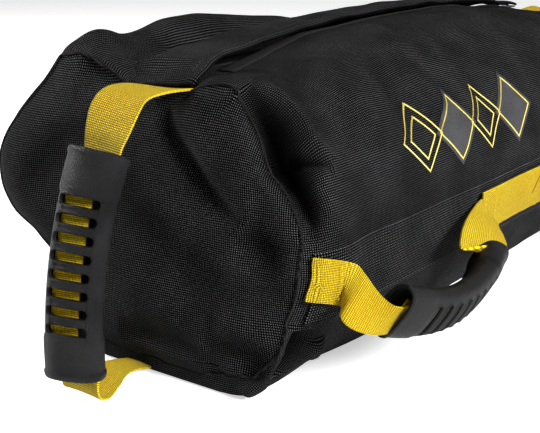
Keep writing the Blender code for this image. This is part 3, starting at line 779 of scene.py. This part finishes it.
def flapPlace(x, share):
    # share 0 at the sewn back edge, 1 at the free front edge
    root, crest, across, front = flapRow(x)
    width = flap["rootAcross"] - across
    top = (flap["rootAcross"] - flap["crestAcross"]) / width
    if share < top:
        z = mix(root, crest, math.sin(math.pi / 2 * share / top))
    else:
        z = mix(crest, front, smooth(top, 1, share))
    fromEdge = (1 - share) * width
    z += flap["hemRise"] * (1 - smooth(*flap["hemEdge"], fromEdge))
    for line in flap["stitchLines"]:
        z -= flap["stitchDeep"] * bell(fromEdge - line, flap["stitchWide"])
    z -= flap["endRoll"] * (1 - smooth(0, flap["rollWidth"], fromEdge))
    y = mix(flap["rootAcross"], across, share)
    perX, perY = flap["rippleScale"]
    ripple = noise.noise(Vector((x * perX, y * perY, flap["rippleSeed"])))
    return Vector((x, y, z + ripple * flap["ripple"] * smooth(*flap["rippleFrom"], share)))


def buildFlap():
    low, high = flapTable[0, 0], flapTable[-1, 0]
    bm = sheetMesh(flap["alongCuts"], flap["acrossCuts"],
                   lambda u, v: flapPlace(mix(low, high, (u + 1) / 2), 1 - (v + 1) / 2),
                   lambda co: (co.x * (high - low) / 2, co.y * flap["weaveAcross"]))
    bm.normal_update()
    if sum(f.normal.z for f in bm.faces) < 0:
        bmesh.ops.reverse_faces(bm, faces=bm.faces)
    piece = finish("coverFlap", bm, "bagCloth", None, ["cover_flap"], (flap["thickness"], -1))
    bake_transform(piece, "bag", "cover_flap", start=(0, 0.052, 0.2165), end=(0, 0.002, 0.2165))


def fastenerStrip(name, body, node, across, lift):
    # a narrow strip of hooks or pile under the flap's front edge, or on the cloth below it
    def place(u, v):
        x = mix(*flap["fastener"], (u + 1) / 2)
        edge = flapRow(x)[2]
        y = edge + mix(*across, (v + 1) / 2)
        if body == "bag":
            hit = clothTree.ray_cast(Vector((x, y, probe["from"])), Vector((0, 0, -1)))
            return hit[0] + Vector((0, 0, lift))
        share = (flap["rootAcross"] - y) / (flap["rootAcross"] - edge)
        return flapPlace(x, share) - Vector((0, 0, lift))

    bm = sheetMesh(*flap["fastenerCells"], place)
    finish(name, bm, "hookPile", body, [node], (flap["fastenerThickness"], 0))


buildFlap()
fastenerStrip("hookStrip", "cover_flap", "fastener_hook_strip", (0.003, 0.017), 0.0034)
fastenerStrip("loopStrip", "bag", "fastener_loop_strip", (-0.004, 0.010), 0.0009)
print("flap laid")


# straps: yellow webbing between an upper and a lower edge line

strap = {
    "width": 0.038, "thickness": 0.0018, "steps": 56, "columns": 12, "end": 0.303, "lift": 0.0044,
    "tuck": 0.030,  # the back straps lie closer to the bag and further in
    "clear": 0.55, "inwards": 0.6, "tuckFrom": 5,
    "bow": 0.001, "endBow": -0.0008, "middleRow": (-0.1, 0.1, 9), "middleEdges": (0.1085, 0.074),
    "turn": ((-0.2, -0.144, 0.088), (-0.2, -0.164, 0.088)),
    "endTurn": ((-0.333, 0, 0.1086), (-0.3646, 0, 0.1137)),
}
# each edge line: places in the frame and how far across the webbing is there, None where it lies on the bag
outerStrap = {
    "upper": [
        (307, 257, None), (318, 258, None), (330, 259, None), (350, 263, None), (366, 276, -0.149),
        (376, 290, -0.157), (387, 301, -0.165), (398, 307, -0.172)],
    "upperInside": metres((-274, -177, 73.5), (-257.7, -179.2, 69)),
    "lower": [
        (299, 300, None), (308, 301, None), (318, 302, None), (336, 305, None), (341, 318, -0.151),
        (353, 329, -0.158), (372, 335, -0.163), (389, 333, -0.165)],
    "lowerInside": metres((-279, -164, 53), (-263.3, -168.6, 49)),
}
innerStrap = {
    "upper": [
        (518, 173, None), (500, 182, None), (486, 191, None), (471, 204, None), (466, 220, -0.15),
        (461, 236, -0.157), (463, 249, -0.164)],
    "upperInside": metres((-146, -174, 82), (-162, -180, 74)),
    "lower": [
        (530, 203, None), (516, 207, None), (506, 214, None), (493, 223, None), (503, 237, -0.156),
        (505, 250, -0.166)],
    "lowerInside": metres((-139, -168, 58), (-156, -170, 52)),
}
endTop = {
    "left": metres(
        (-306, 20, 205), (-328, 18.5, 209.9), (-346, 15, 212.2), (-357, 14, 211.6), (-365, 14.2, 208),
        (-370, 14.8, 202.2), (-373, 15, 195.6), (-375.5, 15, 186.8), (-377, 15, 178), (-379, 15, 169),
        (-381.5, 15, 158)),
    "right": metres(
        (-306, -20, 207), (-329, -20.5, 208.5), (-349, -21.2, 208), (-358, -22, 205.5),
        (-364.5, -22.5, 199.6), (-369.5, -22, 192.3), (-373.5, -20.5, 184.9), (-376, -17.8, 177.9),
        (-378, -16.5, 171), (-380, -16, 165), (-382.5, -15.5, 156)),
}
endFoot = {
    "left": metres(
        (-399, 15.5, 48), (-403, 16, 34), (-406.5, 16.8, 22), (-405, 17.5, 14), (-396, 19, 11),
        (-380, 23, 13), (-362, 26.5, 12), (-345, 28, 8), (-332, 28, 4.5)),
    "right": metres(
        (-399, -15.5, 48), (-403, -16.5, 34), (-407, -17.2, 21), (-404, -17, 12.5), (-394, -15, 9),
        (-380, -10, 10.5), (-362, -1, 10.5), (-345, 4, 7), (-332, 4, 3.5)),
}
sideTrees = {side: (clothTree, treeOf(piece)) for side, piece in bands.items()}


def seated(point, side, lift=strap["lift"]):
    # moved straight in or out until it lies on the bag's side
    found = [sideHit(tree, point.x, point.z, side) for tree in sideTrees[side]]
    found = [y for y in found if y is not None]
    if not found:
        return point
    return Vector((point.x, max(found, key=abs) + side * lift, point.z))


def strapPiece(name, upper, lower, flip, nodes, bodies, turn=None, bow=0.0):
    steps, side = strap["steps"], flip[0] * flip[1]
    above, below = throughPoints(upper, steps), throughPoints(lower, steps)
    reach = reachAlong([(a + b) / 2 for a, b in zip(above, below)])

    def rowAt(v):
        return round((v + 1) / 2 * (steps - 1))

    def place(u, v):
        index = rowAt(v)
        ahead = above[min(index + 1, steps - 1)] - above[max(index - 1, 0)]
        outward = ahead.cross(below[index] - above[index]).normalized()
        spot = above[index].lerp(below[index], (u + 1) / 2) + outward * (bow * (1 - u ** 2) * side)
        if name.startswith("endStrap"):
            return spot
        lowest = seated(spot, -flip[1], strap["lift"] * strap["clear"])
        return lowest if abs(spot.y) < abs(lowest.y) else spot

    bm = sheetMesh(strap["columns"], steps - 1, place,
                   lambda co: (co.x * strap["width"] / 2, reach[rowAt(co.y)]))
    if side < 0:
        bmesh.ops.reverse_faces(bm, faces=bm.faces)
    piece = finish(name, bm, "yellowWebbing", None if turn else bodies[0], nodes,
                   (strap["thickness"], 0), True)
    if turn:
        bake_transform(piece, bodies[0], bodies[1],
                 start=mirrored(turn[0], flip)[:], end=mirrored(turn[1], flip)[:])


def placeAt(px, py, across):
    direction = sightLine(px, py)
    start = Vector(camera["place"])
    return start + direction * ((across - start.y) / direction.y)


def edgeLine(stops, inside, flip):
    line = []
    tuck = strap["tuck"] if flip[1] < 0 else 0
    for index, (px, py, across) in enumerate(stops):
        slack = tuck * (1 - smooth(strap["tuckFrom"], len(stops) + 1, index))
        if across is not None:
            spot = placeAt(px, py, across) + Vector((slack, slack * strap["inwards"], 0))
            line.append(mirrored(spot, flip))
            continue
        spot = firstSeen(sideTrees[-1], px, py) or placeAt(px, py, -probe["flank"])
        spot = mirrored(spot + Vector((slack, -strap["lift"], 0)), flip)
        if flip != (1, 1):
            spot.x = math.copysign(min(abs(spot.x), strap["end"]), spot.x)
            spot = seated(spot, -flip[1])
        line.append(spot)
    return line + [mirrored(point, flip) for point in inside]


def titled(name):
    return name.title().replace("_", "")


handles = {"front_near": (1, 1), "front_far": (-1, 1), "back_near": (1, -1), "back_far": (-1, -1)}
endHandles = {"near": (1, 1), "far": (-1, 1)}
for handle, flip in handles.items():
    side, end = handle.split("_")
    for label, lines, nodes in (("outer", outerStrap, [f"{side}_tab_{end}", f"{handle}_loop"]),
                                ("inner", innerStrap, [])):
        upper, lower = [edgeLine(lines[edge], lines[edge + "Inside"], flip) for edge in ("upper", "lower")]
        strapPiece(f"{label}Strap{titled(handle)}", upper, lower, flip, nodes, ("bag", f"{handle}_handle"),
                   strap["turn"], strap["bow"])
for side, flip in (("front", (1, 1)), ("back", (1, -1))):
    upper, lower = [[seated(mirrored((x, -probe["flank"], z), flip), -flip[1])
                     for x in np.linspace(*strap["middleRow"])] for z in strap["middleEdges"]]
    strapPiece(f"middleStrip{side.title()}", upper, lower, flip, [f"{side}_middle_strip"], ("bag",))
for end, flip in endHandles.items():
    for label, lines, nodes in (("Top", endTop, [f"{end}_end_top_tab", f"{end}_end_loop"]),
                                ("Foot", endFoot, [f"{end}_end_bottom_tab"])):
        left, right = [[mirrored(p, flip) for p in lines[edge]] for edge in ("left", "right")]
        strapPiece(f"endStrap{label}{end.title()}", left, right, flip, nodes, ("bag", f"{end}_end_handle"),
                   strap["endTurn"], strap["endBow"])
print("straps sewn")


# stitching: rows of short threads

stitch = {"length": 0.0032, "gap": 0.0013, "radius": 0.00042, "flat": 0.7, "lift": 0.0002,
          "flapBack": (0.004, 0.0022), "flapRow": (-0.296, 0.248, 140), "bandRise": 0.0215,
          "bandRow": (-0.313, 0.313, 150), "strapAt": (-0.305, -0.296, -0.096, -0.078),
          "strapRow": (0.08, 0.104, 14), "strapSink": 0.0011}


def stitchRow(bm, places):
    # threads laid end to end along a row of (place, outward direction)
    reach = 0.0
    for (a, out), (b, _) in zip(places, places[1:]):
        span = (b - a).length
        ahead = (b - a).normalized()
        side = out.cross(ahead).normalized()
        up = ahead.cross(side)
        turn = Matrix((ahead, side, up)).transposed().to_4x4()
        size = Matrix.Diagonal((stitch["length"] / 2, stitch["radius"], stitch["radius"] * stitch["flat"], 1))
        while reach < span:
            spot = Matrix.Translation(a + ahead * reach + up * stitch["lift"])
            bmesh.ops.create_icosphere(bm, subdivisions=1, radius=1, matrix=spot @ turn @ size)
            reach += stitch["length"] + stitch["gap"]
        reach -= span


def flapStitches():
    for label, body in (("Front", "cover_flap"), ("Back", "bag")):
        bm = bmesh.new()
        for line in flap["stitchLines"] if body == "cover_flap" else stitch["flapBack"]:
            row = []
            for x in np.linspace(*stitch["flapRow"]):
                width = flap["rootAcross"] - flapRow(x)[2]
                fromEdge = line if body == "cover_flap" else width - line
                spot = flapPlace(x, 1 - fromEdge / width) + Vector((0, 0, stitch["lift"]))
                row.append((spot, Vector((0, 0, 1))))
            stitchRow(bm, row)
        finish(f"flapStitches{label}", bm, "thread", body)


def bandStitches(side, label):
    bm = bmesh.new()
    for rise in (-stitch["bandRise"], stitch["bandRise"]):
        row = []
        for x in np.linspace(*stitch["bandRow"]):
            spot = seated(Vector((x, side * probe["flank"], band["height"] + rise)), side)
            row.append((spot - Vector((0, side * (strap["lift"] - stitch["lift"]), 0)), Vector((0, side, 0))))
        stitchRow(bm, row)
    finish(f"bandStitches{label}", bm, "thread", "bag")


def strapStitches(handle, flip):
    # where each strap is sewn to the band, rows across its width at both ends of the sewn length
    bm = bmesh.new()
    for x in stitch["strapAt"]:
        row = []
        for z in np.linspace(*stitch["strapRow"]):
            spot = seated(mirrored((x, -probe["flank"], z), flip), -flip[1])
            row.append((spot - Vector((0, flip[1] * stitch["strapSink"], 0)), Vector((0, -flip[1], 0))))
        stitchRow(bm, row)
    finish(f"strapStitches{titled(handle)}", bm, "yellowThread", "bag")


flapStitches()
bandStitches(-1, "Front")
bandStitches(1, "Back")
for handle, flip in handles.items():
    strapStitches(handle, flip)
print("stitching sewn")


# a plain pattern of diamonds printed on each side

pattern = {
    "lineWidth": 0.0013, "lift": 0.0005, "spacing": 0.052, "start": -0.172, "height": 0.163, "count": 4,
    "reach": 0.027, "rise": 0.024, "inner": 0.62, "patch": 1.2, "patchLift": 0.0003,
    "patchCells": 20, "thickness": 0.0002, "step": 0.002,
}


def printed(name, side, corners):
    # a thin closed line along the corners, laid on the cloth
    bm = bmesh.new()
    half = pattern["lineWidth"] / 2
    stops = corners + corners[:2]
    for (ax, az), (bx, bz) in zip(stops, stops[1:]):
        length = math.hypot(bx - ax, bz - az)
        cells = max(4, int(length / pattern["step"]))
        made = bmesh.ops.create_grid(bm, x_segments=cells, y_segments=1, size=1)
        for vert in made["verts"]:
            along = mix(-half, length + half, (vert.co.x + 1) / 2) / length
            off = vert.co.y * pattern["lineWidth"] / 2
            x = mix(ax, bx, along) - (bz - az) / length * off
            z = mix(az, bz, along) + (bx - ax) / length * off
            vert.co = onCloth(x, z, side, pattern["lift"])
    finish(name, bm, "printLine", "bag", wall=(pattern["thickness"], 0))


def printedPatch(name, side, centre, reach, rise):
    def place(u, v):
        x, z = centre[0] + (u + v) / 2 * reach, centre[1] + (u - v) / 2 * rise
        return onCloth(x, z, side, pattern["patchLift"])

    bm = sheetMesh(pattern["patchCells"], pattern["patchCells"], place)
    bmesh.ops.recalc_face_normals(bm, faces=bm.faces)
    finish(name, bm, "printGloss", "bag", wall=(pattern["thickness"], 0))


for side, label in ((-1, "Front"), (1, "Back")):
    for k in range(pattern["count"]):
        cx, cz = pattern["start"] + k * pattern["spacing"], pattern["height"]
        reach, rise = pattern["reach"], pattern["rise"]
        corners = [(cx - reach, cz), (cx, cz + rise), (cx + reach, cz), (cx, cz - rise)]
        printed(f"diamondLine{label}{k + 1}", side, corners)
        if k % 2:
            patch = pattern["patch"]
            printedPatch(f"diamondPatch{label}{k + 1}", side, (cx, cz), reach * patch, rise * patch)
        else:
            inner = [(mix(cx, x, pattern["inner"]), mix(cz, z, pattern["inner"])) for x, z in corners]
            printed(f"diamondInner{label}{k + 1}", side, inner)
print("pattern printed")


# grips: a bent rubber tube with two sleeves and eight slots along its outer face

grip = {
    "segments": 96, "wide": 0.0174, "deep": 0.0084, "sleeveWide": 0.0184, "sleeveDeep": 0.0092, "power": 2.6,
    "slotRound": 9.5, "slotRows": 6, "pitch": 0.0118, "slotWidth": 0.0054, "slots": 8, "wall": 0.0024,
    "lip": 0.0009, "recess": 0.0007, "rim": 0.0008, "sleeveRows": 6,
    "sleeveSteps": (0.0016, 0.0034, 0.005, 0.0075), "sleeveEnd": (0.0036, 0.002, 0.0008),
    # heights change over these stretches, from the last slot's edge, from the grip's end and across
    "sleeveRise": (0.001, 0.0052), "fieldEnd": (-0.0002, 0.0018), "lipRise": (-0.0034, -0.0018),
    "lipRound": (-0.0014, 0), "lipFall": 0.6, "fieldSide": (0.0115, 0.014),
    "webbing": 0.01, "webbingShort": 0.008, "webbingCells": (40, 4), "weaveAcross": 0.015,
}
# the bend along its chord, the turn of its face, its breadth and thickness, and where its slots lie
sideShape = {"chord": 0.142, "mouth": 0.021, "rise": 0.0165, "shift": -0.008, "lean": -0.002, "twist": -17,
             "aside": 0.001, "broad": 1.1, "thick": 1.45, "slotTurn": 42, "slotMiddle": 92,
             "webbing": -0.0025}
endShape = {"chord": 0.147, "mouth": 0.0475, "rise": 0.009, "shift": -0.0175, "lean": 0.004, "twist": 19,
            "aside": 0.0045, "broad": 1, "thick": 1, "slotTurn": 46, "slotMiddle": 98, "webbing": 0.004}
backShape = {**sideShape, "shift": -0.001}  # the hidden pair hangs a little further from the ends
droop = math.radians(49)
# pivot, direction along the grip and direction outwards
sidePivot = ((-0.2025, -0.154418, 0.0845), (1, 0, 0), (0, -math.cos(droop), -math.sin(droop)))
endPivot = ((-0.344895, 0, 0.11054), (0.16025, 0, 0.98708), (-0.98708, 0, 0.16025))


def gripRings(half):
    bar = grip["pitch"] - grip["slotWidth"]
    field = []
    for k in range(grip["slots"]):
        start = (k - grip["slots"] / 2 + 0.5) * grip["pitch"] - grip["slotWidth"] / 2
        field += [start + grip["slotWidth"] * j / grip["slotRows"] for j in range(grip["slotRows"] + 1)]
        if k < grip["slots"] - 1:
            field += [start + grip["slotWidth"] + bar * j / 3 for j in (1, 2)]
    edge = field[-1]
    sleeve = [edge + step for step in grip["sleeveSteps"]]
    ends = [half - step for step in grip["sleeveEnd"]]
    count = grip["sleeveRows"]
    sleeve += [mix(sleeve[3], ends[0], j / count) for j in range(1, count + 1)]
    sleeve += [*ends[1:], half]
    return [-p for p in reversed(sleeve)] + field + sleeve, edge


def slotReach(place, shape):
    # how far round the section a slot goes at this place: rounded ends, nothing between slots
    fromMiddle = abs((place / grip["pitch"] + grip["slots"] / 2) % 1 - 0.5) * grip["pitch"]
    share = 2 * fromMiddle / grip["slotWidth"]
    if share > 1.001:
        return -1
    return shape["slotTurn"] - grip["slotRound"] * (1 - math.sqrt(max(0, 1 - share * share)))


def bendReach(place, shape):
    # the bent middle line's reach from the pivot line, and its slope
    part = 2 * place / shape["chord"]
    reach = shape["mouth"] + shape["rise"] * (1 - part ** 2) - shape["lean"] * part
    return reach, (-4 * shape["rise"] * part - 2 * shape["lean"]) / shape["chord"]


def stretch(start, span, value):
    return smooth(start + span[0], start + span[1], value)


def twisted(face, edgeway, shape):
    cosine, sine = math.cos(math.radians(shape["twist"])), math.sin(math.radians(shape["twist"]))
    return face * cosine + edgeway * sine, edgeway * cosine - face * sine


def gripPiece(name, node, body, pivot, along, outward, shape, flip):
    along, outward = Vector(along).normalized(), Vector(outward).normalized()
    wide = along.cross(outward)
    half = shape["chord"] / 2
    rings, edge = gripRings(half)
    bm = bmesh.new()
    bmesh.ops.create_cone(bm, cap_ends=False, segments=grip["segments"], radius1=1, radius2=1, depth=2)
    upright = [e for e in bm.edges if abs(e.verts[0].co.z - e.verts[1].co.z) > 1]
    bmesh.ops.subdivide_edges(bm, edges=upright, cuts=len(rings) - 2, use_grid_fill=True)
    gaps = []
    for face in bm.faces:
        spot = face.calc_center_median()
        ring = int((spot.z + 1) / 2 * (len(rings) - 1))
        turn = math.degrees(math.atan2(spot.y, spot.x))
        place = (rings[ring] + rings[ring + 1]) / 2
        if abs(place) < edge and abs(turn - shape["slotMiddle"]) < slotReach(place, shape):
            gaps.append(face)
    bmesh.ops.delete(bm, geom=gaps, context="FACES")
    rims = {v for v in bm.verts if v.is_boundary and abs(v.co.z) < 0.95}
    power = 2 / grip["power"]
    for vert in bm.verts:
        place = rings[round((vert.co.z + 1) / 2 * (len(rings) - 1))]
        fromMiddle = abs(place)
        turn = math.atan2(vert.co.y, vert.co.x)
        offset = math.degrees(turn) - shape["slotMiddle"]
        reachRound = slotReach(place, shape)
        if vert in rims and abs(offset) > reachRound - 4:
            turn = math.radians(shape["slotMiddle"] + math.copysign(reachRound, offset))
        across, depth = math.cos(turn), math.sin(turn)
        sleeveShare = stretch(edge, grip["sleeveRise"], fromMiddle)
        lip = grip["lip"] * stretch(half, grip["lipRise"], fromMiddle)
        lip *= 1 - grip["lipFall"] * stretch(half, grip["lipRound"], fromMiddle)
        w = mix(grip["wide"], grip["sleeveWide"], sleeveShare) * shape["broad"] + lip
        d = mix(grip["deep"], grip["sleeveDeep"], sleeveShare) * (shape["thick"] if depth < 0 else 1) + lip
        x = math.copysign(abs(across) ** power, across) * w
        n = math.copysign(abs(depth) ** power, depth) * d
        if depth > 0:
            inField = 1 - stretch(edge, grip["fieldEnd"], fromMiddle)
            n -= grip["recess"] * (inField * (1 - smooth(*grip["fieldSide"], abs(x))))
            n += grip["rim"] if vert in rims else 0
        reach, slope = bendReach(place, shape)
        tangent = (along + outward * slope).normalized()
        normal = (outward - tangent * outward.dot(tangent)).normalized()
        face, edgeway = twisted(normal, wide, shape)
        spot = Vector(pivot) + along * (place + shape["shift"]) + outward * reach + edgeway * x + face * n
        vert.co = mirrored(spot, flip)
    bmesh.ops.recalc_face_normals(bm, faces=bm.faces)
    finish(name, bm, "gripRubber", body, [node], (grip["wall"], -1))


def webbingInside(name, body, pivot, along, outward, shape, flip):
    # the webbing that shows in the slots
    along, outward = Vector(along).normalized(), Vector(outward).normalized()
    face, edgeway = twisted(outward, along.cross(outward), shape)

    def place(u, v):
        at = u * (shape["chord"] / 2 - grip["webbingShort"])
        spot = (Vector(pivot) + along * (at + shape["shift"]) + outward * bendReach(at, shape)[0]
                + edgeway * (v * grip["webbing"] - shape["aside"]) + face * shape["webbing"])
        return mirrored(spot, flip)

    bm = sheetMesh(*grip["webbingCells"], place,
                   lambda co: (co.y * grip["weaveAcross"], co.x * shape["chord"] / 2))
    finish(name, bm, "yellowWebbing", body, wall=(strap["thickness"], 0))


for handle, flip in handles.items():
    shape = sideShape if flip[1] > 0 else backShape
    gripPiece(f"grip{titled(handle)}", f"{handle}_grip", f"{handle}_handle", *sidePivot, shape, flip)
    webbingInside(f"gripWebbing{titled(handle)}", f"{handle}_handle", *sidePivot, shape, flip)
for end, flip in endHandles.items():
    gripPiece(f"gripEnd{end.title()}", f"{end}_end_grip", f"{end}_end_handle", *endPivot, endShape, flip)
    webbingInside(f"gripWebbingEnd{end.title()}", f"{end}_end_handle", *endPivot, endShape, flip)
print("grips moulded")


# finishes of the CAD nodes that stay

kept = {
    "zipTape": ["zip_tape_front", "zip_tape_back"], "zipCoil": ["zip_chain"],
    "zipMetal": ["zip_stop_near", "zip_stop_far", "zip_slider", "zip_pull"],
    "canvas": [f"filler_{part}_{n}" for part in ("bag", "seal") for n in (1, 2, 3, 4)],
}
for finishName, nodes in kept.items():
    for node in nodes:
        materials = bpy.data.objects[node].data.materials
        materials.clear()
        materials.append(finishes[finishName])
print("hidden pieces finished")


# stage and light: name, place, what it points at, size and power

lights = (("keyLight", (-0.45, -2.2, 1.3), (-0.1, 0, 0.1), (0.8, 0.6), 126),
          ("backLight", (-0.62, 2.2, 0.9), (-0.3, 0, 0.1), (0.7, 0.7), 66),
          ("topLight", (-0.3, 0.2, 2.4), (0, 0, 0.1), (1.4, 1.0), 16))


def makeStage():
    bm = bmesh.new()
    bmesh.ops.create_grid(bm, x_segments=1, y_segments=1, size=8)
    mesh = bpy.data.meshes.new("studioFloor")
    bm.to_mesh(mesh)
    bm.free()
    floor = placeObject("studioFloor", mesh)
    made, tree, shader = newMaterial("studioFloor")
    rays = addNode(tree, "LightPath").outputs
    feed(tree, shader, {
        "Base Color": (0.86, 0.86, 0.86), "Roughness": 0.9, "Specular IOR Level": 0.1,
        "Emission Color": (1.0, 1.0, 1.0),
        "Emission Strength": mathNode(tree, "MULTIPLY", rays["Is Camera Ray"], 0.55)})
    mesh.materials.append(made)


def makeWorld():
    world = bpy.data.worlds.new("studio")
    bpy.context.scene.world = world
    world.use_nodes = True
    tree = world.node_tree
    rays = addNode(tree, "LightPath").outputs
    seen = mathNode(tree, "MAXIMUM", rays["Is Camera Ray"], rays["Is Transmission Ray"])
    feed(tree, tree.nodes["Background"], {
        "Color": (1.0, 1.0, 1.0), "Strength": mathNode(tree, "MULTIPLY_ADD", seen, 0.90, 0.10)})


def areaLight(name, place, target, size, power):
    data = bpy.data.lights.new(name, "AREA")
    data.shape = "RECTANGLE"
    data.size, data.size_y = size
    data.energy = power
    item = placeObject(name, data)
    item.location = place
    item.rotation_euler = (Vector(target) - Vector(place)).to_track_quat("-Z", "Y").to_euler()


makeStage()
makeWorld()
for light in lights:
    areaLight(*light)
bpy.context.scene.view_settings.view_transform = "Standard"
print("stage and lights set")
